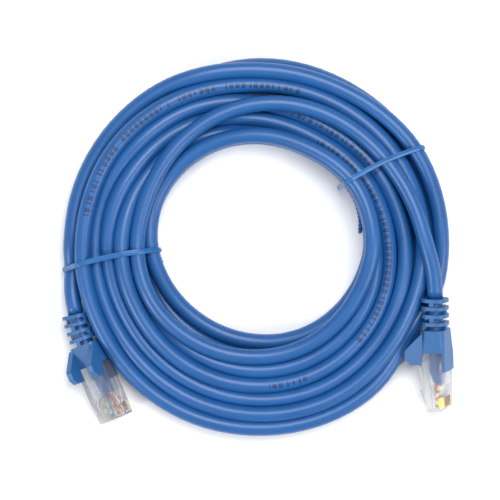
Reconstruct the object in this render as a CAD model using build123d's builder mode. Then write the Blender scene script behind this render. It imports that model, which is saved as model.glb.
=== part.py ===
# Ethernet patch cable, coiled and held by two twist ties. Millimetres, +Z up from the surface
# that it lies on, origin under the middle of its outline.
import os
from math import cos, pi, radians, sin, tan

from build123d import *

os.makedirs("parts", exist_ok=True)

# cable
cable_dia = 6.0
cable_r = cable_dia / 2

# coil: outline radii each 30 degrees, from +X anticlockwise about the middle of the turns
coil_x = -2.3
coil_y = 0.4
coil_height = 12.0
outer_radii = [75.0, 75.8, 72.3, 71.2, 71.0, 71.3, 70.8, 69.0, 70.8, 72.1, 74.0, 74.8]
inner_radii = [43.1, 42.7, 39.2, 38.7, 38.1, 37.3, 35.4, 32.3, 31.2, 33.5, 36.9, 40.0]
outer_slope = 6.0
inner_slope = 5.0
last_turn_z = coil_height + cable_r + 0.1
stub_length = 3.0
# how far below the last turn the right boot's front lies
right_drop = 3.2
dent_gap = 0.3

# the last turn lies across the top of the others to the right boot: radius and angle of each point
last_turn = [(43.1, 140), (48.8, 115), (53.5, 90), (56.5, 62), (59.4, 36), (62.3, 16), (66.5, -2)]
right_lead = 8.0
# the first turn leaves the coil's outside for the left boot
first_turn = [(-70.6, -8.4, 4.6), (-70.9, -14.4, 5.8)]
left_lead = 6.0

# twist ties
tie_width = 2.0
tie_thick = 1.0
tie_wire = 0.45
tie_gap = 0.5
tie_tail_dia = 1.4
tie_tail_length = 14.0
tie_tail_turn = 12.0
# angle round the coil, skew from straight across, which outline radius it crosses, and the
# radius at which it climbs over the last turn
tie_places = {"left": (183.5, 9.0, 6, None), "right": (30.0, -9.0, 1, 60.3)}
hump_foot = cable_dia + 0.8
hump_top = cable_r - 0.2

# boot
rib_count = 4
rib_pitch = 2.95
rib_thick = 1.35
rib_size = 9.6
rib_corner = 3.2
web_width = 1.8
neck_length = rib_count * rib_pitch
body_length = 8.5
body_width = 12.2
tongue_thick = 1.05
body_high = 4.5
body_corner = 1.4
bore_gap = 0.15
ear_thick = 2.2
ear_reach = 6.5
ear_end = 13.0
ear_corner = 1.6
tongue_length = 7.2
tongue_width = 10.4

# plug housing: w runs from the contact side to the latch side
plug_width = 11.68
plug_length = 22.3
cavity_gap = 0.1
cavity_half = cable_r + cavity_gap
floor_wall = 0.75
contact_face = -(cavity_half + floor_wall)
body_low = contact_face - tongue_thick
latch_face_rear = 4.15
latch_face_nose = 2.75
flat_rear = 8.0
cavity_width = 9.4
channel_width = 8.5
wire_row = -0.9
channel_half = 0.6
window_start = 4.0
window_length = 3.4
window_width = 6.5
window_depth = 0.8
bar_depth = 0.8
bar_margin = 0.5
fit_gap = 0.06

# latch
latch_length = 15.6
latch_thick = 1.15
latch_base_width = 6.05
latch_base_length = 6.6
latch_stem_width = 3.25
latch_angle = 13.5
hinge_r = 0.55
hinge_back = 1.5
hinge_rise = 0.35
hinge_gap = 0.1

# contacts and wires
contact_count = 8
contact_pitch = 1.02
contact_thick = 0.34
contact_length = 3.8
contact_back = 1.3
contact_sink = 0.25
prong_width = 0.7
slot_gap = 0.04
wire_dia = 0.95
core_dia = 0.51
jacket_end = 12.0
jacket_taper = 4.6
jacket_middle = -0.7
jacket_tip_width = 5.6
jacket_tip_height = 3.6
neck_steps = 4
wire_names = [
    "white_orange",
    "orange",
    "white_green",
    "blue",
    "white_blue",
    "green",
    "white_brown",
    "brown",
]

# where each boot meets the cable, the way its plug points, and how far it is rolled and bent
plug_places = {
    "left": {"front": (-65.6, -37.3, 7.3), "heading": -67.5, "dip": 0.0, "roll": -30.0, "flex": 10.0},
    "right": {"front": (67.9, -31.6, last_turn_z - right_drop), "heading": -87.6, "dip": 7.0, "roll": -113.0, "flex": 2.0},
}


def polar(radius, angle, height=0.0):
    return Vector(
        coil_x + radius * cos(radians(angle)), coil_y + radius * sin(radians(angle)), height
    )


def front_plane(place):
    heading, dip, roll = (radians(place[k]) for k in ("heading", "dip", "roll"))
    along = Vector(cos(heading) * cos(dip), sin(heading) * cos(dip), -sin(dip))
    level = Vector(-sin(heading), cos(heading), 0)
    latch_way = along.cross(level) * cos(roll) + level * sin(roll)
    return Plane(origin=place["front"], x_dir=latch_way.cross(along), z_dir=along)


def station(place, reach):
    """The boot's cross-section plane at this reach from its rear end, on its bent neck."""
    front = front_plane(place)
    if reach >= neck_length:
        return front.offset(reach - neck_length)
    bend_axis = Axis((0, 0, 0), (0, 0, 1))
    radius = neck_length / radians(place["flex"])
    angle = -place["flex"] * (1 - reach / neck_length)
    level = Vector(0, 0, 1).cross(front.z_dir).normalized()
    arm = level * -radius
    origin = front.origin - arm + arm.rotate(bend_axis, angle)
    return Plane(
        origin=origin,
        x_dir=front.x_dir.rotate(bend_axis, angle),
        z_dir=front.z_dir.rotate(bend_axis, angle),
    )


def side_plane(place):
    """The plug's side view: x from its rear end to its nose, y towards the latch."""
    rear = station(place, neck_length + body_length)
    return Plane(origin=rear.origin, x_dir=rear.z_dir, z_dir=-rear.x_dir)


def route_radii(points):
    """The largest arc that each corner's two runs allow."""
    radii = []
    for before, here, after in zip(points, points[1:], points[2:]):
        first = here - before
        second = after - here
        half_turn = radians(first.get_angle(second)) / 2
        radii.append(0.45 * min(first.length, second.length) / tan(half_turn))
    return radii


def make_tube(points, radius):
    with BuildPart() as tube:
        with BuildLine() as path:
            FilletPolyline(points, radius=route_radii(points))
        with BuildSketch(Plane(origin=path.line @ 0, z_dir=path.line % 0)):
            Circle(radius)
        sweep()
    return tube.part


def print_tube(name, points, tube):
    """The tube's arc radii, and its volume beside its section times its length."""
    with BuildLine(mode=Mode.PRIVATE) as path:
        FilletPolyline(points, radius=route_radii(points))
    length = path.wires()[0].length
    print(name, "radii", [round(r, 1) for r in route_radii(points)])
    print(name, "length", round(length, 1), "volume", round(tube.volume), round(pi * cable_r**2 * length))


def make_boot(place):
    rib_gap = rib_pitch - rib_thick
    bore_r = cable_r + bore_gap
    start = station(place, neck_length)
    rear = side_plane(place)
    with BuildPart() as boot:
        for i in range(rib_count):
            with BuildSketch(station(place, i * rib_pitch)):
                RectangleRounded(rib_size, rib_size, rib_corner)
                Circle(bore_r, mode=Mode.SUBTRACT)
            extrude(amount=rib_thick)
            web_reach = rib_size / 2 - bore_r - 0.3
            with BuildSketch(station(place, i * rib_pitch + rib_thick - 0.15)):
                with PolarLocations(bore_r + web_reach / 2, 2, start_angle=90 * (i % 2)):
                    Rectangle(web_reach, web_width)
            extrude(amount=rib_gap + 0.3)
        with BuildSketch(start):
            with Locations((0, (body_low + body_high) / 2)):
                RectangleRounded(body_width - 1.2, body_high - body_low - 0.6, body_corner + 0.8)
        with BuildSketch(start.offset(body_length)):
            with Locations((0, (body_low + body_high) / 2)):
                RectangleRounded(body_width, body_high - body_low, body_corner)
        loft()
        # tongue over the contact side, with the pad that sits in the housing's window
        with BuildSketch(rear):
            with Locations((tongue_length / 2 - 0.3, (body_low + contact_face - fit_gap) / 2)):
                Rectangle(tongue_length + 0.6, contact_face - fit_gap - body_low)
        extrude(amount=tongue_width / 2, both=True)
        with BuildSketch(rear):
            pad_top = contact_face + window_depth - 0.1
            with Locations((window_start + window_length / 2, (body_low + pad_top) / 2)):
                Rectangle(window_length - 2 * fit_gap, pad_top - body_low)
        extrude(amount=window_width / 2 - fit_gap, both=True)
        # two ears that guard the latch
        ear_middle = (body_width - ear_thick) / 2
        ear_top = latch_face_rear + ear_reach
        ear_tip = ear_end - body_length
        for side in (-1, 1):
            with BuildSketch(rear.offset(side * ear_middle)) as ear:
                with BuildLine():
                    Polyline(
                        (-body_length + 0.8, body_high - 1.0),
                        (-0.9, ear_top),
                        (2.2, ear_top),
                        (ear_tip, ear_top - 2.0),
                        (ear_tip, latch_face_rear + fit_gap),
                        (0, latch_face_rear + fit_gap),
                        (0, body_high - 1.0),
                        close=True,
                    )
                make_face()
                fillet(ear.vertices().sort_by(Axis.Y)[-3:], ear_corner)
            extrude(amount=ear_thick / 2, both=True)
        with BuildSketch(start.offset(-0.2)):
            Circle(bore_r)
        extrude(amount=body_length + 0.4, mode=Mode.SUBTRACT)
    return boot.part


def make_housing(place):
    rear = side_plane(place)
    nose = plug_length
    with BuildPart() as housing:
        with BuildSketch(rear):
            with BuildLine():
                Polyline(
                    (0, contact_face),
                    (nose - 0.8, contact_face),
                    (nose, contact_face + 0.8),
                    (nose, latch_face_nose - 0.5),
                    (nose - 0.5, latch_face_nose),
                    (flat_rear, latch_face_rear),
                    (0, latch_face_rear),
                    close=True,
                )
            make_face()
        extrude(amount=plug_width / 2, both=True)
        fillet(housing.edges().filter_by(Axis(rear.origin, rear.x_dir)), 0.35)
        # room for the jacket, narrowing to the row of wires
        with BuildSketch(rear):
            with BuildLine():
                Polyline(
                    (0, -cavity_half),
                    (jacket_end + 0.6, -cavity_half),
                    (jacket_end + 4.6, wire_row - channel_half),
                    (nose - 1.0, wire_row - channel_half),
                    (nose - 1.0, wire_row + channel_half),
                    (jacket_end + 4.8, wire_row + channel_half),
                    (jacket_end + 0.6, cavity_half - 1.3),
                    (flat_rear, cavity_half),
                    (0, cavity_half),
                    close=True,
                )
            make_face()
        extrude(amount=channel_width / 2, both=True, mode=Mode.SUBTRACT)
        with BuildSketch(rear.offset(-cavity_width / 2)):
            with Locations((jacket_end / 2, 0)):
                Rectangle(jacket_end, 2 * cavity_half - 2.6)
        extrude(amount=cavity_width, mode=Mode.SUBTRACT)
        # the bar that grips the jacket, under its window
        with BuildSketch(rear):
            with Locations((window_start + window_length / 2, -cavity_half + bar_depth / 2)):
                Rectangle(window_length, bar_depth + 0.1)
        extrude(amount=window_width / 2 + bar_margin, both=True)
        with BuildSketch(rear):
            with Locations((window_start + window_length / 2, contact_face + window_depth / 2)):
                Rectangle(window_length, window_depth)
        extrude(amount=window_width / 2, both=True, mode=Mode.SUBTRACT)
        # a slot for each contact, open at the contact face
        for i in range(contact_count):
            with BuildSketch(rear.offset(row_place(i))):
                with Locations((nose - contact_back - contact_length / 2, contact_face / 2 + wire_row / 2)):
                    Rectangle(contact_length + 2 * slot_gap, wire_row - contact_face)
            extrude(amount=contact_thick / 2 + slot_gap, both=True, mode=Mode.SUBTRACT)
        # a hollow for the latch's hinge
        with BuildSketch(rear):
            with Locations(hinge_point()):
                Circle(hinge_r + hinge_gap)
        extrude(amount=latch_base_width / 2 + hinge_gap, both=True, mode=Mode.SUBTRACT)
    return housing.part


def row_place(i):
    """A wire's or contact's offset from the middle of its row, along the side plane's normal."""
    return (i - (contact_count - 1) / 2) * contact_pitch


def hinge_point():
    slope = (latch_face_rear - latch_face_nose) / (plug_length - 0.5 - flat_rear)
    return (plug_length - hinge_back, latch_face_nose + slope * (hinge_back - 0.5) + hinge_rise)


def make_latch(place):
    rear = side_plane(place)
    x, y = hinge_point()
    hinge = Plane(origin=rear.from_local_coords(Vector(x, y, 0)), x_dir=rear.x_dir, z_dir=rear.z_dir)
    tilt = radians(latch_angle)
    blade_way = rear.y_dir * sin(tilt) - rear.x_dir * cos(tilt)
    blade = Plane(origin=hinge.origin, x_dir=blade_way, z_dir=rear.z_dir)
    with BuildPart() as latch:
        with BuildSketch(hinge):
            Circle(hinge_r)
        extrude(amount=latch_base_width / 2, both=True)
        with BuildSketch(blade):
            with BuildLine():
                Polyline(
                    (0, -hinge_r),
                    (latch_base_length, -latch_thick - 0.25),
                    (latch_base_length, 0.12),
                    (0.5, 0.12),
                    (0, 0),
                    close=True,
                )
            make_face()
        extrude(amount=latch_base_width / 2, both=True)
        with BuildSketch(blade):
            with BuildLine():
                Polyline(
                    (latch_base_length - 1, -latch_thick + 0.15),
                    (latch_length - 0.4, -latch_thick + 0.15),
                    (latch_length, -latch_thick + 0.55),
                    (latch_length, 0.25),
                    (latch_length - 2.2, 0.0),
                    (latch_base_length - 1, 0.0),
                    close=True,
                )
            make_face()
        extrude(amount=latch_stem_width / 2, both=True)
    return latch.part


def make_contacts(place):
    rear = side_plane(place)
    middle = plug_length - contact_back - contact_length / 2
    top = contact_face + contact_sink
    wire_side = wire_row - wire_dia / 2 - 0.02
    prong_end = wire_row - core_dia / 2
    with BuildPart() as contacts:
        for i in range(contact_count):
            with BuildSketch(rear.offset(row_place(i))):
                with Locations((middle, (top + wire_side) / 2)):
                    Rectangle(contact_length, wire_side - top)
                for prong in (-1, 1):
                    with Locations((middle + prong * contact_length / 4, (wire_side + prong_end) / 2 - 0.1)):
                        Rectangle(prong_width, prong_end - wire_side + 0.2)
            extrude(amount=contact_thick / 2, both=True)
    return contacts.part


def wire_points(place, i):
    """Out of the jacket in two rows, then side by side in one row to the contacts."""
    rear = side_plane(place)
    rise = 0.58 if i % 2 else -0.58
    column = (i // 2 - 1.5) * 1.15
    local = [
        (jacket_end, jacket_middle + rise, column),
        (jacket_end + 0.8, jacket_middle + rise, column),
        (jacket_end + 2.6, jacket_middle + rise, row_place(i)),
        (jacket_end + 4.4, wire_row, row_place(i)),
        (plug_length - contact_back + 0.1, wire_row, row_place(i)),
    ]
    return [rear.from_local_coords(Vector(*p)) for p in local]


def make_wire(place, i):
    rear = side_plane(place)
    points = wire_points(place, i)
    middle = plug_length - contact_back - contact_length / 2
    with BuildPart() as wire:
        with BuildLine() as path:
            FilletPolyline(points, radius=route_radii(points))
        with BuildSketch(Plane(origin=path.line @ 0, z_dir=path.line % 0)):
            Circle(wire_dia / 2)
            Circle(core_dia / 2, mode=Mode.SUBTRACT)
        sweep()
        # the slits that the contact's prongs have cut
        with BuildSketch(rear.offset(row_place(i))):
            for prong in (-1, 1):
                with Locations((middle + prong * contact_length / 4, wire_row - wire_dia / 2)):
                    Rectangle(prong_width + 0.04, wire_dia - core_dia)
        extrude(amount=contact_thick / 2 + 0.02, both=True, mode=Mode.SUBTRACT)
    return wire.part


def make_cores(place):
    with BuildPart() as cores:
        for i in range(contact_count):
            points = wire_points(place, i)
            with BuildLine() as path:
                FilletPolyline(points, radius=route_radii(points))
            with BuildSketch(Plane(origin=path.line @ 0, z_dir=path.line % 0)):
                Circle(core_dia / 2)
            sweep(path=path.line)
    return cores.part


def make_jacket_end(place):
    """The last of the jacket, from the boot's rear end to where the wires come out."""
    start = station(place, neck_length)
    rear = side_plane(place)
    taper = neck_length + body_length + jacket_end - jacket_taper
    with BuildPart() as jacket:
        for i in range(neck_steps):
            with BuildSketch(station(place, i * neck_length / neck_steps)):
                Circle(cable_r)
        with BuildSketch(start):
            Circle(cable_r)
        loft(ruled=True)
        with BuildSketch(start):
            Circle(cable_r)
        extrude(amount=taper - neck_length)
        with BuildSketch(start.offset(taper - neck_length)):
            Circle(cable_r)
        with BuildSketch(start.offset(taper - neck_length + jacket_taper)):
            with Locations((0, jacket_middle)):
                Ellipse(jacket_tip_width / 2, jacket_tip_height / 2)
        loft()
        with BuildSketch(rear):
            with Locations((window_start + window_length / 2, -cavity_half + bar_depth / 2)):
                Rectangle(window_length + 2 * fit_gap, bar_depth + 2 * fit_gap + 0.1)
        extrude(amount=window_width / 2 + bar_margin + fit_gap, both=True, mode=Mode.SUBTRACT)
    return jacket.part


def outline(radii):
    return [polar(r, 30 * i) for i, r in enumerate(radii)]


def tie_plane(side):
    angle, skew, index, _ = tie_places[side]
    middle = (outer_radii[index] + inner_radii[index]) / 2
    direction = radians(angle + skew)
    reach = Vector(cos(direction), sin(direction), 0)
    return Plane(origin=polar(middle, angle), x_dir=reach, z_dir=reach.cross(Vector(0, 0, 1)))


def tie_outline(side, grow):
    """The bundle's section at a tie, grown by this much, as corner points."""
    _, _, index, climb = tie_places[side]
    half = (outer_radii[index] - inner_radii[index]) / 2 + tie_gap + grow
    top = coil_height + 0.15 + grow
    foot = tie_thick + 0.1 - grow
    corners = [
        (-half, foot),
        (half, foot),
        (half, top - outer_slope),
        (half - outer_slope, top),
        (-half + inner_slope, top),
        (-half, top - inner_slope),
    ]
    if climb:
        crossing = climb - (outer_radii[index] + inner_radii[index]) / 2
        crest = last_turn_z + cable_r + 0.2 + grow
        corners[4:4] = [
            (crossing + hump_foot, top),
            (crossing + hump_top, crest),
            (crossing - hump_top, crest),
            (crossing - hump_foot, top),
        ]
    return corners


def make_band(side, low, high, width):
    with BuildPart() as band:
        with BuildSketch(tie_plane(side)):
            with BuildLine():
                FilletPolyline(tie_outline(side, high), radius=1.2 + high, close=True)
            make_face()
            with BuildLine():
                FilletPolyline(tie_outline(side, low), radius=1.2 + low, close=True)
            make_face(mode=Mode.SUBTRACT)
        extrude(amount=width / 2, both=True)
    return band.part


def make_tie(side):
    """A flat plastic band round the bundle, with its twisted ends along the inner turn's foot."""
    index = tie_places[side][2]
    angle = tie_places[side][0]
    wire_low = (tie_thick - tie_wire) / 2
    with BuildPart() as tie:
        add(make_band(side, 0, tie_thick, tie_width))
        add(make_band(side, wire_low, wire_low + tie_wire, tie_wire), mode=Mode.SUBTRACT)
        half = (outer_radii[index] - inner_radii[index]) / 2 + tie_gap
        plane = tie_plane(side)
        foot = plane.origin - plane.x_dir * (half + tie_thick / 2) + Vector(0, 0, tie_tail_dia / 2)
        tangent = Vector(sin(radians(angle)), -cos(radians(angle)), 0)
        tangent = tangent.rotate(Axis.Z, -tie_tail_turn)
        with BuildSketch(Plane(origin=foot + tangent * (tie_wire / 2 + 0.2), z_dir=tangent)):
            Circle(tie_tail_dia / 2)
        extrude(amount=tie_tail_length)
    return tie.part


def upright_plane(here, after):
    """The section plane of a run of cable, with its second axis as upright as it can be."""
    way = (after - here).normalized()
    return Plane(origin=here, x_dir=Vector(0, 0, 1).cross(way), z_dir=way)


def make_coil(leaving):
    """All the turns as one closed ring, with a short stub where each end of the cable leaves it."""
    with BuildPart() as coil:
        with BuildSketch():
            with BuildLine():
                Spline(outline(outer_radii), periodic=True)
            make_face()
            with BuildLine():
                Spline(outline(inner_radii), periodic=True)
            make_face(mode=Mode.SUBTRACT)
        extrude(amount=coil_height)
        top_edges = coil.edges().group_by(Axis.Z)[-1].sort_by(SortBy.LENGTH)
        chamfer(top_edges[-1], outer_slope)
        top_edges = coil.edges().group_by(Axis.Z)[-1].sort_by(SortBy.LENGTH)
        chamfer(top_edges[0], inner_slope)
        # where the last turn comes up out of the bundle, and where the other end leaves it
        for points in leaving:
            # troughs where the cable lies lower than the top of the bundle
            for here, after in zip(points, points[1:]):
                if after.Z < last_turn_z - dent_gap:
                    with BuildSketch(upright_plane(here, after)):
                        with Locations((0, coil_height / 2 - cable_r - dent_gap)):
                            Rectangle(cable_dia + 4 * dent_gap, coil_height)
                    extrude(amount=(after - here).length + dent_gap, mode=Mode.SUBTRACT)
            drop = points[0].Z
            with BuildSketch(upright_plane(points[0], points[1])):
                Circle(cable_r)
                with Locations((0, -drop / 4)):
                    Rectangle(cable_dia, drop / 2)
            extrude(amount=-stub_length)
        # dents for the boots and for the ties' undersides
        for place in plug_places.values():
            with BuildSketch(station(place, neck_length)):
                with Locations((0, (body_low + latch_face_rear + ear_reach) / 2)):
                    Rectangle(
                        body_width + 2 * dent_gap,
                        latch_face_rear + ear_reach - body_low + 2 * dent_gap,
                    )
            extrude(amount=body_length + tongue_length + dent_gap, mode=Mode.SUBTRACT)
            with BuildSketch(station(place, neck_length / 2)):
                Rectangle(rib_size + 2 * dent_gap, rib_size + 2 * dent_gap)
            extrude(amount=neck_length / 2 + dent_gap, both=True, mode=Mode.SUBTRACT)
        for side in tie_places:
            add(make_band(side, -0.1, tie_thick + dent_gap, tie_width + 0.4), mode=Mode.SUBTRACT)
    return coil.part


def tail_points(side):
    """The cable's route from where it leaves the coil to its boot."""
    boot_start = station(plug_places[side], 0)
    if side == "right":
        points = [polar(radius, angle, last_turn_z) for radius, angle in last_turn]
        lead = right_lead
    else:
        points = [Vector(*p) for p in first_turn]
        lead = left_lead
    return points + [boot_start.origin - boot_start.z_dir * lead, boot_start.origin]


nodes = {"cable_coil": make_coil([tail_points(side) for side in plug_places])}
for side, place in plug_places.items():
    tail = make_tube(tail_points(side), cable_r)
    print_tube(side, tail_points(side), tail)
    nodes[f"cable_tail_{side}"] = tail
    nodes[f"tie_{side}"] = make_tie(side)
    wire_low = (tie_thick - tie_wire) / 2
    nodes[f"tie_wire_{side}"] = make_band(
        side, wire_low + 0.01, wire_low + tie_wire - 0.01, tie_wire - 0.02
    )
    nodes[f"boot_{side}"] = make_boot(place)
    nodes[f"plug_housing_{side}"] = make_housing(place)
    nodes[f"latch_{side}"] = make_latch(place)
    nodes[f"contacts_{side}"] = make_contacts(place)
    nodes[f"jacket_end_{side}"] = make_jacket_end(place)
    nodes[f"copper_cores_{side}"] = make_cores(place)
    for i, name in enumerate(wire_names):
        nodes[f"wire_{name}_{side}"] = make_wire(place, i)

for name, part in nodes.items():
    part.label = name
    export_step(part, f"parts/{name}.step")
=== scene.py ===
import math

import bpy
import numpy as np
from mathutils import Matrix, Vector


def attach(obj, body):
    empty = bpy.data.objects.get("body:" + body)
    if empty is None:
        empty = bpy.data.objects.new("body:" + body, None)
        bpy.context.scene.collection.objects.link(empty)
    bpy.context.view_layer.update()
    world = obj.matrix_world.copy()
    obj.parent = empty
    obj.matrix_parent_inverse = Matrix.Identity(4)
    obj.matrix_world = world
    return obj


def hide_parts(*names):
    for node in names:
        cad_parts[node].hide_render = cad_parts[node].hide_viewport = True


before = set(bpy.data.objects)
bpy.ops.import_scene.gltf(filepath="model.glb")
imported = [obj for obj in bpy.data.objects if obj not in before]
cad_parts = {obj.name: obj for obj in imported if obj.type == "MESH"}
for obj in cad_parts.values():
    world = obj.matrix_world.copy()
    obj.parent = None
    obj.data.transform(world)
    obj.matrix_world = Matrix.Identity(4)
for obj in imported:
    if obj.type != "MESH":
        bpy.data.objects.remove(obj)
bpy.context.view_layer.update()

mm = 0.001


def clearSelection():
    if bpy.context.object and bpy.context.object.mode != "OBJECT":
        bpy.ops.object.mode_set(mode="OBJECT")
    bpy.ops.object.select_all(action="DESELECT")


def hexColour(text):
    # sRGB hex to the linear colour that a shader takes
    values = [int(text[i : i + 2], 16) / 255 for i in (0, 2, 4)]
    linear = [v / 12.92 if v <= 0.04045 else ((v + 0.055) / 1.055) ** 2.4 for v in values]
    return (*linear, 1.0)


def addNode(tree, kind, settings=None, inputs=None, links=None):
    # settings are properties, inputs constant values, links output sockets to plug in
    node = tree.nodes.new(kind)
    for name, value in (settings or {}).items():
        setattr(node, name, value)
    for name, value in (inputs or {}).items():
        node.inputs[name].default_value = value
    for name, socket in (links or {}).items():
        tree.links.new(socket, node.inputs[name])
    return node


def newMaterial(name):
    material = bpy.data.materials.new(name)
    material.use_nodes = True
    return material, material.node_tree, material.node_tree.nodes["Principled BSDF"]


def objectPlace(tree):
    return addNode(tree, "ShaderNodeTexCoord").outputs["Object"]


def addNoise(tree, place, size, detail=2.0):
    # size in mm
    settings = {"Scale": 1 / (size * mm), "Detail": detail}
    return addNode(tree, "ShaderNodeTexNoise", None, settings, {"Vector": place}).outputs["Fac"]


def addChance(tree, seed):
    settings = {"noise_dimensions": "1D"}
    return addNode(tree, "ShaderNodeTexWhiteNoise", settings, None, {"W": seed}).outputs["Value"]


def addRange(tree, value, settings):
    return addNode(tree, "ShaderNodeMapRange", None, settings, {"Value": value}).outputs["Result"]


def addBlend(tree, factor, first, second):
    # first and second are colours, or sockets that give one
    node = addNode(tree, "ShaderNodeMix", {"data_type": "RGBA"}, None, {"Factor": factor})
    for socket, colour in ((node.inputs[6], first), (node.inputs[7], second)):
        if isinstance(colour, tuple):
            socket.default_value = colour
        else:
            tree.links.new(colour, socket)
    return node.outputs[2]


def addMaths(tree, operation, *values):
    node = addNode(tree, "ShaderNodeMath", {"operation": operation})
    for socket, value in zip(node.inputs, values):
        if isinstance(value, (int, float)):
            socket.default_value = value
        else:
            tree.links.new(value, socket)
    return node.outputs[0]


def addBump(tree, shader, height, strength, distance):
    settings = {"Strength": strength, "Distance": distance * mm}
    bump = addNode(tree, "ShaderNodeBump", None, settings, {"Height": height})
    tree.links.new(bump.outputs["Normal"], shader.inputs["Normal"])


# sizes in the materials are in mm
jacket = {
    "colour": "2060a2",
    "deep": "194f8c",
    "mottle": 14.0,
    "gloss": {"To Min": 0.31, "To Max": 0.44},
    "ripple": 0.9,
    "rippleStrength": 0.12,
    "rippleDepth": 0.05,
    "ink": "12284f",
    "inkStrength": 0.95,
    # from one printed mark to the next, and how many thirds of a mark make a group
    "mark": 2.35,
    "group": 15,
    "markMissing": 0.18,
    "groupMissing": 0.1,
    "strokeHalf": 0.38,
    # half the height of a stroke, as a share of the way round the cable
    "strokeHeight": (0.026, 0.04),
    # where the print faces up, in degrees wound on from the left end of the coil
    "printed": [(370, 467), (1200, 1342), (820, 868)],
}
boot = {"colour": "28649f", "deep": "22588f", "roughness": 0.42, "grain": 0.35}
tie = {"colour": "2f74b4", "deep": "194f8c", "roughness": 0.32, "grain": 0.3}
jacketEnd = {"colour": "2060a2", "deep": "194f8c", "roughness": 0.38, "grain": 0.6}
gold = {"colour": "e8b04a", "roughness": 0.18, "scratch": 0.3}
copper = {"colour": "c9764a", "roughness": 0.25, "scratch": 0.2}
wires = {"orange": "d8742a", "green": "4d9a4b", "blue": "2d5fb4", "brown": "7a4a2c", "white": "ece9e2"}


def addPrint(tree, along, around):
    # two upright strokes to a mark, each of its own height, some marks and groups left out
    thirds = addMaths(tree, "DIVIDE", along, jacket["mark"] * mm / 3)
    column = addMaths(tree, "FLOOR", thirds)
    chance = addChance(tree, column)
    group = addChance(tree, addMaths(tree, "FLOOR", addMaths(tree, "DIVIDE", thirds, jacket["group"])))
    offCentre = addMaths(tree, "ABSOLUTE", addMaths(tree, "SUBTRACT", addMaths(tree, "FRACT", thirds), 0.5))
    stroke = addMaths(tree, "LESS_THAN", offCentre, jacket["strokeHalf"])
    paired = addMaths(tree, "LESS_THAN", addMaths(tree, "MODULO", column, 3), 1.5)
    marked = addMaths(tree, "GREATER_THAN", chance, jacket["markMissing"])
    grouped = addMaths(tree, "GREATER_THAN", group, jacket["groupMissing"])
    offTop = addMaths(tree, "ABSOLUTE", addMaths(tree, "SUBTRACT", around, 0.5))
    height = addMaths(tree, "MULTIPLY_ADD", chance, *jacket["strokeHeight"])
    ink = addMaths(tree, "LESS_THAN", offTop, height)
    for share in (stroke, paired, marked, grouped):
        ink = addMaths(tree, "MULTIPLY", ink, share)
    return addMaths(tree, "MULTIPLY", ink, jacket["inkStrength"])


def jacketPvc(name, printed):
    # extruded PVC cable jacket: satin, with a faint ripple, and small ink marks on some stretches
    material, tree, shader = newMaterial(name)
    place = objectPlace(tree)
    mottle = addNoise(tree, place, jacket["mottle"], 3.0)
    colour = addBlend(tree, mottle, hexColour(jacket["deep"]), hexColour(jacket["colour"]))
    if printed:
        uv = addNode(tree, "ShaderNodeUVMap", {"uv_map": "along"}).outputs["UV"]
        split = addNode(tree, "ShaderNodeSeparateXYZ", None, None, {"Vector": uv}).outputs
        colour = addBlend(tree, addPrint(tree, split["X"], split["Y"]), colour, hexColour(jacket["ink"]))
    tree.links.new(colour, shader.inputs["Base Color"])
    tree.links.new(addRange(tree, mottle, jacket["gloss"]), shader.inputs["Roughness"])
    shader.inputs["IOR"].default_value = 1.52
    ripple = addNoise(tree, place, jacket["ripple"])
    addBump(tree, shader, ripple, jacket["rippleStrength"], jacket["rippleDepth"])
    return material


def softPvc(name, settings):
    # moulded flexible PVC: soft sheen, a fine moulded grain and a little colour drift
    material, tree, shader = newMaterial(name)
    place = objectPlace(tree)
    mottle = addNoise(tree, place, 5.0, 3.0)
    colour = addBlend(tree, mottle, hexColour(settings["deep"]), hexColour(settings["colour"]))
    tree.links.new(colour, shader.inputs["Base Color"])
    shader.inputs["Roughness"].default_value = settings["roughness"]
    shader.inputs["IOR"].default_value = 1.53
    addBump(tree, shader, addNoise(tree, place, settings["grain"]), 0.25, 0.04)
    return material


def clearPolycarbonate():
    # injection-moulded clear polycarbonate: glossy, faint flow lines, slightly hazed
    material, tree, shader = newMaterial("clearPolycarbonate")
    flow = addNoise(tree, objectPlace(tree), 2.5)
    shader.inputs["Base Color"].default_value = hexColour("f6f8fa")
    shader.inputs["Transmission Weight"].default_value = 0.95
    shader.inputs["Alpha"].default_value = 0.7
    shader.inputs["IOR"].default_value = 1.45
    tree.links.new(addRange(tree, flow, {"To Min": 0.03, "To Max": 0.11}), shader.inputs["Roughness"])
    addBump(tree, shader, flow, 0.2, 0.06)
    return material


def bareMetal(name, settings):
    # drawn or stamped metal with fine scratches
    material, tree, shader = newMaterial(name)
    fine = addNoise(tree, objectPlace(tree), settings["scratch"], 4.0)
    shader.inputs["Base Color"].default_value = hexColour(settings["colour"])
    shader.inputs["Metallic"].default_value = 1.0
    gloss = {"To Min": settings["roughness"], "To Max": settings["roughness"] + 0.15}
    tree.links.new(addRange(tree, fine, gloss), shader.inputs["Roughness"])
    return material


def wireInsulation(name, colour, striped):
    # extruded polyethylene insulation, white with a coloured stripe on every other wire
    material, tree, shader = newMaterial(name)
    place = objectPlace(tree)
    if striped:
        settings = {"Scale": 1 / (9 * mm), "Distortion": 1.0}
        bands = addNode(tree, "ShaderNodeTexWave", {"bands_direction": "Y"}, settings, {"Vector": place})
        factor = addRange(tree, bands.outputs["Fac"], {"From Min": 0.6, "From Max": 0.7})
        under = hexColour(wires["white"])
    else:
        factor = addNoise(tree, place, 1.5)
        under = (*[0.8 * c for c in hexColour(colour)[:3]], 1.0)
    tree.links.new(addBlend(tree, factor, under, hexColour(colour)), shader.inputs["Base Color"])
    shader.inputs["Roughness"].default_value = 0.35
    return material


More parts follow.
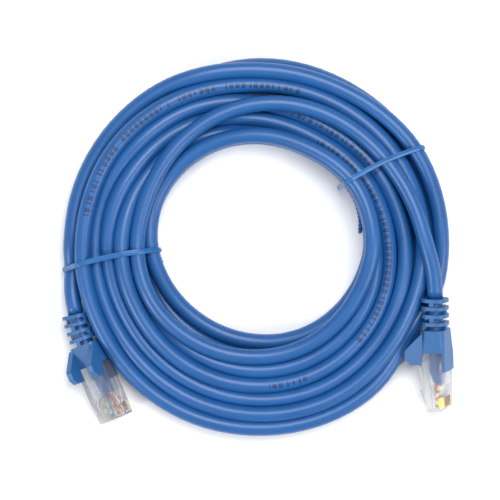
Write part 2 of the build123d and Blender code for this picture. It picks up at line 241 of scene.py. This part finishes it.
materials = {
    "jacket": jacketPvc("extrudedPvcJacket", False),
    "printed": jacketPvc("extrudedPvcJacketPrinted", True),
    "tie": softPvc("pvcTwistTie", tie),
    "boot": softPvc("mouldedPvcBoot", boot),
    "jacket_end": softPvc("pvcJacketEnd", jacketEnd),
    "contacts": bareMetal("goldPlatedContact", gold),
    "copper_cores": bareMetal("bareCopper", copper),
}
materials["plug_housing"] = clearPolycarbonate()
materials["latch"] = materials["plug_housing"]
print("materials made")


def dress(node, material):
    slots = bpy.data.objects[node].data.materials
    slots.clear()
    slots.append(material)


# the CAD pieces that stay keep their shape and take a finished material
for side in ("left", "right"):
    for piece in ("boot", "plug_housing", "latch", "contacts", "copper_cores", "jacket_end"):
        dress(f"{piece}_{side}", materials[piece])
    for colour in ("orange", "green", "blue", "brown"):
        for node, striped in ((f"wire_{colour}_{side}", False), (f"wire_white_{colour}_{side}", True)):
            dress(node, wireInsulation(f"{node}_insulation", wires[colour], striped))
print("CAD pieces dressed")

# the cable

coil = {
    "middle": (-2.3, 0.4),
    "diameter": 6.0,
    "stations": 24,
    # radius of each turn, in mm, each 30 degrees clockwise from -X
    "turns": [
        [69.4, 68.5, 68.3, 65.8, 67.9, 73.0, 72.6, 72.0, 71.6, 70.0, 68.3, 65.4],
        [63.6, 62.9, 62.5, 60.6, 62.7, 65.0, 66.2, 65.8, 66.8, 65.0, 62.4, 59.6],
        [59.3, 58.4, 57.5, 54.6, 51.5, 54.8, 59.0, 60.4, 61.4, 59.4, 56.9, 54.8],
        [54.8, 53.3, 52.3, 47.7, 46.5, 49.4, 52.5, 54.8, 55.2, 53.5, 51.2, 49.4],
        [49.2, 48.3, 46.2, 41.9, 41.0, 44.6, 46.2, 49.2, 49.2, 47.9, 46.9, 45.4],
        [46.2, 53.8, 63.0, 68.2, 69.4, 68.8, 70.0, 69.2, 68.5, 67.5, 66.4, 63.6],
        [64.6, 63.8, 62.8, 62.6, 64.2, 66.8, 65.6, 64.6, 63.8, 62.2, 60.0, 58.6],
        [58.6, 57.6, 56.6, 57.2, 58.2, 61.0, 60.0, 58.8, 57.2, 55.0, 53.0, 52.6],
        [52.4, 51.8, 50.8, 51.6, 52.6, 55.4, 54.4, 52.6, 50.4, 47.8, 46.0, 46.0],
        [45.6, 45.4, 45.2, 46.0, 47.0, 49.8, 49.0, 46.8, 44.0, 40.8, 39.2, 39.6],
        [38.2, 40.0, 41.0, 41.6, 42.0, 45.4, 46.0, 43.2, 39.6, 36.2, 34.4, 35.2],
        [38.6, 40.2, 41.0, 41.6, 41.8, 45.4, 46.0, 44.0, 43.7, 42.3, 42.5, 43.7],
    ],
    # the last turn climbs over the others, from -X to +X where it leaves for the right boot
    "last": [43.3, 43.4, 47.7, 53.5, 57.3, 60.4, 66.0],
    "lastHeight": 15.1,
    # first guess of each turn's height: one turn comes in underneath all the others
    "heights": [9, 9, 9, 9, 9, 3, 3, 3, 3, 3, 8, 12],
    "under": {5: (0, 5)},
    "strong": (0, 1, 2, 3, 4, 11, 12),
    # room that the boots and the ties' undersides take: angle, radius, height, reach
    "keepOut": [(195, 72.0, 7.4, 5.6), (210, 74.4, 7.3, 6.8), (225, 78.5, 7.3, 6.8),
                (-15, 73.5, 13.2, 5.8), (-30, 76.0, 11.5, 7.0)],
    # the coil's edges, in mm, each 30 degrees anticlockwise from +X
    "outer": [75.0, 75.8, 72.3, 71.2, 71.0, 71.3, 70.8, 69.0, 70.8, 72.1, 74.0, 74.8],
    "inner": [43.1, 42.7, 39.2, 38.7, 38.1, 37.3, 35.4, 32.3, 31.2, 33.5, 36.9, 40.0],
    # the ties' bands pass underneath at these angles, so the turns ride a little higher
    "lifted": (186, 30),
    "lift": 1.3,
    # soft jackets press into each other a little where turns touch
    "snug": 0.955,
}
# the cable's ends, in mm, from each boot's rear inwards
leftEnd = [(-69.144, -26.06, 7.3), (-70.442, -20.203, 7.3), (-70.9, -14.4, 5.8), (-70.6, -8.4, 4.6)]
rightEnd = [(67.556, -11.864, 12.875), (67.612, -19.804, 11.9)]

settling = {
    "steps": 1500,
    "rounds": 3,
    "fall": 0.03,
    "smooth": 0.12,
    "pull": 0.03,
    "strongPull": 0.18,
    "push": 0.25,
    "hold": 0.5,
    "below": -3.0,
    "liftSpread": 12.0,
    "edgeInset": 0.4,
    "realWithin": 400.0,
    "away": 500.0,
    "awayStep": 10.0,
    # the spline passes a little inside its points
    "outset": 1.0085,
}

stations = coil["stations"]
# angle of each section of the coil, clockwise from -X
sections = 180 - np.arange(stations) * 360 / stations
radiusOfCable = coil["diameter"] / 2


def firstGuess():
    # radius and height of the chain of points, how hard each is held, and how many are real
    table = np.array(coil["turns"])
    flat = np.append(table.reshape(-1), coil["last"])
    each = stations // table.shape[1]
    real = (flat.size - 1) * each + 1
    places = np.arange((len(table) + 1) * stations)
    radius = np.interp(places / each, np.arange(flat.size), flat)
    guesses = np.array(coil["heights"] + [coil["lastHeight"]], float)
    middles = np.arange(len(guesses)) * stations + stations // 2
    height = np.interp(places, middles, guesses)
    # the last turn stops part of the way round, so the rest of its row is kept out of the way
    radius[real:] = settling["away"] + settling["awayStep"] * np.arange(radius.size - real)
    height[real - each :] = coil["lastHeight"]
    for turn, (start, end) in coil["under"].items():
        height[turn * stations + start * each : turn * stations + end * each] = settling["below"]
    pull = np.full(radius.size, settling["pull"])
    for turn in coil["strong"]:
        pull[turn * stations : (turn + 1) * stations] = settling["strongPull"]
    pull[real:] = 1
    return radius, height, pull, real


def coilLimits():
    # outer and inner radius and the floor at each section
    degrees = sections % 360
    corners = np.arange(13) * 30
    outer = np.interp(degrees, corners, coil["outer"] + coil["outer"][:1])
    inner = np.interp(degrees, corners, coil["inner"] + coil["inner"][:1])
    floor = np.full(stations, radiusOfCable)
    for angle in coil["lifted"]:
        away = (degrees - angle + 180) % 360 - 180
        floor += coil["lift"] * np.exp(-((away / settling["liftSpread"]) ** 2))
    return outer - settling["edgeInset"] * coil["diameter"], inner + radiusOfCable, floor


def pushApart(r, z):
    # turns closer than a diameter move apart, half of the way each
    upper, lower = np.triu_indices(len(r), 1)
    dr = r[lower] - r[upper]
    dz = z[lower] - z[upper]
    gap = np.sqrt(dr * dr + dz * dz) + 1e-6
    push = np.maximum(0, coil["diameter"] * coil["snug"] - gap) * settling["push"]
    for row, sign in ((upper, -1), (lower, 1)):
        np.add.at(r, row, sign * push * dr / gap)
        np.add.at(z, row, sign * push * dz / gap)


def keepClear(r, z):
    # turns stay out of the room that the boots take
    for angle, discRadius, discHeight, reach in coil["keepOut"]:
        place = int(round((180 - angle) % 360 / (360 / stations)))
        dr = r[:, place] - discRadius
        dz = z[:, place] - discHeight
        gap = np.sqrt(dr * dr + dz * dz)
        push = np.maximum(0, reach + radiusOfCable - gap)
        r[:, place] += push * dr / gap
        z[:, place] += push * dz / gap


def settleCoil():
    # let the turns settle on the floor and each other, section by section round the coil
    radius, height, pull, real = firstGuess()
    outer, inner, floor = coilLimits()
    target = radius.copy()
    for step in range(settling["steps"]):
        height -= settling["fall"]
        radius += pull * (target - radius)
        for chain in (radius, height):
            middle = (chain[: real - 2] + chain[2:real]) / 2
            chain[1 : real - 1] += settling["smooth"] * (middle - chain[1 : real - 1])
        radius[real - 1] = coil["last"][-1]
        height[real - 1 :] = coil["lastHeight"]
        r = radius.reshape(-1, stations)
        z = height.reshape(-1, stations)
        for again in range(settling["rounds"]):
            pushApart(r, z)
            keepClear(r, z)
            inside = r < settling["realWithin"]
            r += inside * settling["hold"] * (np.clip(r, inner, outer) - r)
            np.maximum(z, floor, out=z)
    x = coil["middle"][0] + settling["outset"] * r * np.cos(np.radians(sections))
    y = coil["middle"][1] + settling["outset"] * r * np.sin(np.radians(sections))
    return np.stack([x, y, z], axis=2).reshape(-1, 3)[:real]


def polarPoint(radius, angle, height):
    x = coil["middle"][0] + radius * math.cos(math.radians(angle))
    y = coil["middle"][1] + radius * math.sin(math.radians(angle))
    return (x, y, height)


settled = settleCoil()
controls = leftEnd + settled.tolist() + rightEnd
print("coil settled, height", round(float(settled[:, 2].max()) + radiusOfCable, 1))


def splineLine(points, name):
    # the smooth line of a NURBS spline with these control points, in metres
    curve = bpy.data.curves.new(name, "CURVE")
    curve.dimensions = "3D"
    curve.resolution_u = 4
    spline = curve.splines.new("NURBS")
    spline.points.add(len(points) - 1)
    for point, place in zip(spline.points, points):
        point.co = (*[v * mm for v in place], 1.0)
    spline.order_u = 3
    spline.use_endpoint_u = True
    holder = bpy.data.objects.new(name, curve)
    bpy.context.scene.collection.objects.link(holder)
    mesh = bpy.data.meshes.new_from_object(holder)
    points = np.array([v.co[:] for v in mesh.vertices])
    bpy.data.objects.remove(holder)
    bpy.data.curves.remove(curve)
    bpy.data.meshes.remove(mesh)
    return points


def unit(vectors):
    return vectors / np.linalg.norm(vectors, axis=1)[:, None]


def runAlong(points):
    return np.concatenate([[0], np.cumsum(np.linalg.norm(np.diff(points, axis=0), axis=1))])


def newPiece(name, verts, faces, material):
    mesh = bpy.data.meshes.new(name)
    mesh.from_pydata(np.asarray(verts).tolist(), [], faces)
    piece = bpy.data.objects.new(name, mesh)
    piece.data.materials.append(material)
    bpy.context.scene.collection.objects.link(piece)
    return piece


def tubeAlong(line, radius, sides, name, material, roll=0.25):
    # a closed tube round the line, with its length in metres and its turn as a UV map
    ahead = unit(np.gradient(line, axis=0))
    lengths = runAlong(line)
    level = unit(np.cross(ahead, [0, 0, 1.0]))
    over = np.cross(level, ahead)
    turn = 2 * np.pi * np.arange(sides) / sides
    ring = level[:, None] * np.cos(turn)[None, :, None] + over[:, None] * np.sin(turn)[None, :, None]
    verts = (line[:, None] + radius * ring).reshape(-1, 3)
    roll = np.broadcast_to(roll, len(line))
    faces = []
    uvs = []
    for i in range(len(line) - 1):
        here, there = i * sides, (i + 1) * sides
        for j in range(sides):
            k = (j + 1) % sides
            faces.append((there + j, there + k, here + k, here + j))
            whole = math.floor(j / sides + roll[i])
            start, end = j / sides - whole, (j + 1) / sides - whole
            uvs += [(lengths[i + 1], start + roll[i + 1]), (lengths[i + 1], end + roll[i + 1])]
            uvs += [(lengths[i], end + roll[i]), (lengths[i], start + roll[i])]
    last = (len(line) - 1) * sides
    faces.append(tuple(range(sides)))
    faces.append(tuple(range(last + sides - 1, last - 1, -1)))
    uvs += [(0.0, 0.0)] * sides + [(lengths[-1], 0.0)] * sides
    piece = newPiece(name, verts, faces, material)
    layer = piece.data.uv_layers.new(name="along")
    layer.data.foreach_set("uv", np.array(uvs, dtype=np.float32).reshape(-1))
    piece.data.shade_smooth()
    return piece, float(lengths[-1])


line = splineLine(controls, "cableLine")
# the print wanders a little to either side of the top
drift = 0.25 + 0.03 * np.sin(np.linspace(0, 75, len(line)))
tubeSides = 20
cable, cableLength = tubeAlong(
    line, radiusOfCable * mm, tubeSides, "patch_cable", materials["jacket"], drift
)
cable.data.materials.append(materials["printed"])

# each turn's angle, counted on from the left boot, says where the printed stretches are
middleOfCoil = np.array(coil["middle"]) * mm
fromMiddle = line[:, :2] - middleOfCoil
lineAngle = np.arctan2(fromMiddle[:, 1], fromMiddle[:, 0])
lineRadius = np.linalg.norm(fromMiddle, axis=1) / mm
swept = -180 - np.degrees(np.unwrap(lineAngle))
printedRows = np.zeros(len(line), bool)
for start, end in jacket["printed"]:
    printedRows |= (swept > start) & (swept < end)
faceRows = np.minimum(np.arange(len(cable.data.polygons)) // tubeSides, len(line) - 1)
cable.data.polygons.foreach_set("material_index", printedRows[faceRows].astype(np.int32))
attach(cable, "cable")
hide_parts("cable_coil", "cable_tail_left", "cable_tail_right")
print("cable made, length", round(cableLength, 3))

# the ties: place is the angle round the coil and the skew from straight across, bow is how far
# the top bends aside, loop is a slack corner at the inner edge; mm and degrees
ties = {
    "left": {"place": (186.3, 5.2), "bow": -1.3, "loop": [], "tail": (183.6, 203.0), "tip": 1.8},
    "right": {
        "place": (31.0, -5.0),
        "bow": 1.5,
        "loop": [(1.6, 5.5), (1.9, 7.0), (1.4, 8.6)],
        "tail": (33.4, 6.5),
        "tip": -0.9,
    },
}
band = {
    "thick": 0.9,
    "width": 1.9,
    "air": 0.1,
    "middle": 55.5,
    "reach": 40.0,
    "points": 120,
    "bowedAbove": 4.0,
    "roundPoints": 24,
    "sharpEdge": 50.0,
    # the section: flat wings either side of the round wire in its middle
    "section": [(-1, -0.35), (-0.45, -0.5), (-0.2, -1), (0.2, -1), (0.45, -0.5), (1, -0.35)],
}
tail = {"strand": 0.42, "pitch": 3.2, "height": 0.85, "start": 1.0, "points": 60, "near": 3.0, "sides": 8}


def hullOf(points):
    # the convex outline of flat points, anticlockwise
    points = sorted(map(tuple, points))

    def half(items):
        chain = []
        for p in items:
            while len(chain) > 1:
                (ax, ay), (bx, by) = chain[-2], chain[-1]
                if (bx - ax) * (p[1] - ay) - (by - ay) * (p[0] - ax) > 0:
                    break
                chain.pop()
            chain.append(p)
        return chain[:-1]

    return half(points) + half(points[::-1])


def turnsCrossing(middle, reach, across):
    # where the cable passes through a tie's upright plane, as reach and height
    rel = line - middle
    off = rel @ across
    places = []
    for i in np.nonzero(off[:-1] * off[1:] <= 0)[0]:
        share = off[i] / (off[i] - off[i + 1])
        p = rel[i] + share * (rel[i + 1] - rel[i])
        if abs(p @ reach) < band["reach"] * mm:
            places.append((p @ reach, p[2]))
    return places


def makeTie(side):
    # a band drawn tight round whatever turns pass through its upright plane
    angle, skew = ties[side]["place"]
    heading = math.radians(angle + skew)
    reach = np.array([math.cos(heading), math.sin(heading), 0])
    across = np.array([-reach[1], reach[0], 0])
    middle = np.array(polarPoint(band["middle"], angle, 0)) * mm
    thick = band["thick"] / 2 * mm
    grow = (radiusOfCable + band["air"]) * mm + thick
    rim = []
    for x, z in turnsCrossing(middle, reach, across):
        for turn in 2 * np.pi * np.arange(band["roundPoints"]) / band["roundPoints"]:
            rim.append((x + grow * math.cos(turn), max(z + grow * math.sin(turn), thick)))
    inmost = min(x for x, z in rim)
    rim += [(inmost - slack * mm, height * mm) for slack, height in ties[side]["loop"]]
    outline = np.array(hullOf(rim))
    # evenly spaced points round the outline, so that the band bends smoothly
    closed = np.vstack([outline, outline[:1]])
    run = runAlong(closed)
    steps = np.linspace(0, run[-1], band["points"] + 1)[:-1]
    loop = np.stack([np.interp(steps, run, closed[:, 0]), np.interp(steps, run, closed[:, 1])], axis=1)
    way = unit(np.roll(loop, -1, axis=0) - np.roll(loop, 1, axis=0))
    out = np.stack([way[:, 1], -way[:, 0]], axis=1)
    centre, halfSpan = loop[:, 0].mean(), 0.5 * np.ptp(loop[:, 0])
    section = band["section"] + [(-w, -h) for w, h in band["section"]]
    verts = []
    for p, n in zip(loop, out):
        for w, h in section:
            x, z = p + n * h * thick
            aside = w * band["width"] / 2 * mm
            if z > band["bowedAbove"] * mm:
                aside += ties[side]["bow"] * mm * (1 - ((x - centre) / halfSpan) ** 2)
            verts.append(middle + reach * x + across * aside + np.array([0, 0, z]))
    sides, count = len(section), len(loop)
    faces = []
    for i in range(count):
        here, there = i * sides, (i + 1) % count * sides
        for j in range(sides):
            k = (j + 1) % sides
            faces.append((here + j, here + k, there + k, there + j))
    piece = newPiece(f"twist_tie_{side}", verts, faces, materials["tie"])
    clearSelection()
    piece.select_set(True)
    bpy.context.view_layer.objects.active = piece
    bpy.ops.object.mode_set(mode="EDIT")
    bpy.ops.mesh.select_all(action="SELECT")
    bpy.ops.mesh.normals_make_consistent(inside=False)
    bpy.ops.object.mode_set(mode="OBJECT")
    bpy.ops.object.shade_smooth_by_angle(angle=math.radians(band["sharpEdge"]))
    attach(piece, "cable")
    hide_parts(f"tie_{side}", f"tie_wire_{side}")


def makeTieTail(side):
    # the two ends of a band twisted together, tucked under the coil's inner edge
    start, end = (math.radians(a) for a in ties[side]["tail"])
    axis = []
    for share in np.linspace(0, 1, tail["points"]):
        angle = start + share * (end - start)
        apart = np.abs((lineAngle - angle + math.pi) % (2 * math.pi) - math.pi)
        edge = lineRadius[apart < math.radians(tail["near"])].min() - radiusOfCable
        tuck = tail["start"] + (ties[side]["tip"] - tail["start"]) * share**3
        axis.append(polarPoint(edge + tuck, math.degrees(angle), tail["height"]))
    axis = np.array(axis) * mm
    ahead = unit(np.gradient(axis, axis=0))
    level = np.stack([-ahead[:, 1], ahead[:, 0], 0 * ahead[:, 0]], axis=1)
    strands = []
    for phase in (0, math.pi):
        turn = (2 * math.pi * runAlong(axis) / (tail["pitch"] * mm) + phase)[:, None]
        path = axis + tail["strand"] * mm * (level * np.cos(turn) + [0, 0, 1.0] * np.sin(turn))
        strand, length = tubeAlong(
            path, tail["strand"] * mm, tail["sides"], f"tie_tail_{side}", materials["tie"]
        )
        strands.append(strand)
    clearSelection()
    for strand in strands:
        strand.select_set(True)
    bpy.context.view_layer.objects.active = strands[0]
    bpy.ops.object.join()
    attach(bpy.context.object, "cable")


for side in ("left", "right"):
    makeTie(side)
    makeTieTail(side)
print("ties made")

# floor, lights and camera, in metres
stage = {
    "floor": "ffffff",
    "floorSize": 3.0,
    "floorDrop": 0.02 * mm,
    "middle": (-2.7 * mm, -1.5 * mm),
    "cameraHeight": 1.0,
    "seen": 192.3 * mm,
    "sensor": 36.0,
    "world": (0.95, 0.97, 1.0, 1.0),
    "worldStrength": 0.45,
}
softboxes = {
    "overheadSoftbox": {"place": (0.15, 0.35, 1.1), "size": 0.7, "power": 10},
    "sideSoftbox": {"place": (-0.9, -0.6, 0.7), "size": 0.35, "power": 6},
    "fillSoftbox": {"place": (0.9, -0.5, 0.8), "size": 0.7, "power": 6},
}


def makeFloor():
    clearSelection()
    bpy.ops.mesh.primitive_plane_add(size=stage["floorSize"], location=(0, 0, -stage["floorDrop"]))
    floor = bpy.context.object
    floor.name = "studio_floor"
    material, tree, shader = newMaterial("paperSweep")
    shader.inputs["Base Color"].default_value = hexColour(stage["floor"])
    shader.inputs["Roughness"].default_value = 0.9
    shader.inputs["Specular IOR Level"].default_value = 0.1
    floor.data.materials.append(material)


def makeLight(name, settings):
    data = bpy.data.lights.new(name, "AREA")
    data.shape = "DISK"
    data.size = settings["size"]
    data.energy = settings["power"]
    lamp = bpy.data.objects.new(name, data)
    lamp.location = settings["place"]
    # turned to face the object, which lies at the origin
    lamp.rotation_euler = Vector(settings["place"]).to_track_quat("Z", "Y").to_euler()
    bpy.context.scene.collection.objects.link(lamp)


makeFloor()
for name, settings in softboxes.items():
    makeLight(name, settings)
world = bpy.data.worlds.new("paleStudio")
world.use_nodes = True
world.node_tree.nodes["Background"].inputs["Color"].default_value = stage["world"]
world.node_tree.nodes["Background"].inputs["Strength"].default_value = stage["worldStrength"]
bpy.context.scene.world = world

lens = bpy.data.cameras.new("overheadCamera")
lens.sensor_width = stage["sensor"]
lens.lens = stage["sensor"] * stage["cameraHeight"] / stage["seen"]
camera = bpy.data.objects.new("overheadCamera", lens)
camera.location = (*stage["middle"], stage["cameraHeight"])
bpy.context.scene.collection.objects.link(camera)
bpy.context.scene.camera = camera
bpy.context.scene.view_settings.view_transform = "Standard"
print("stage ready")
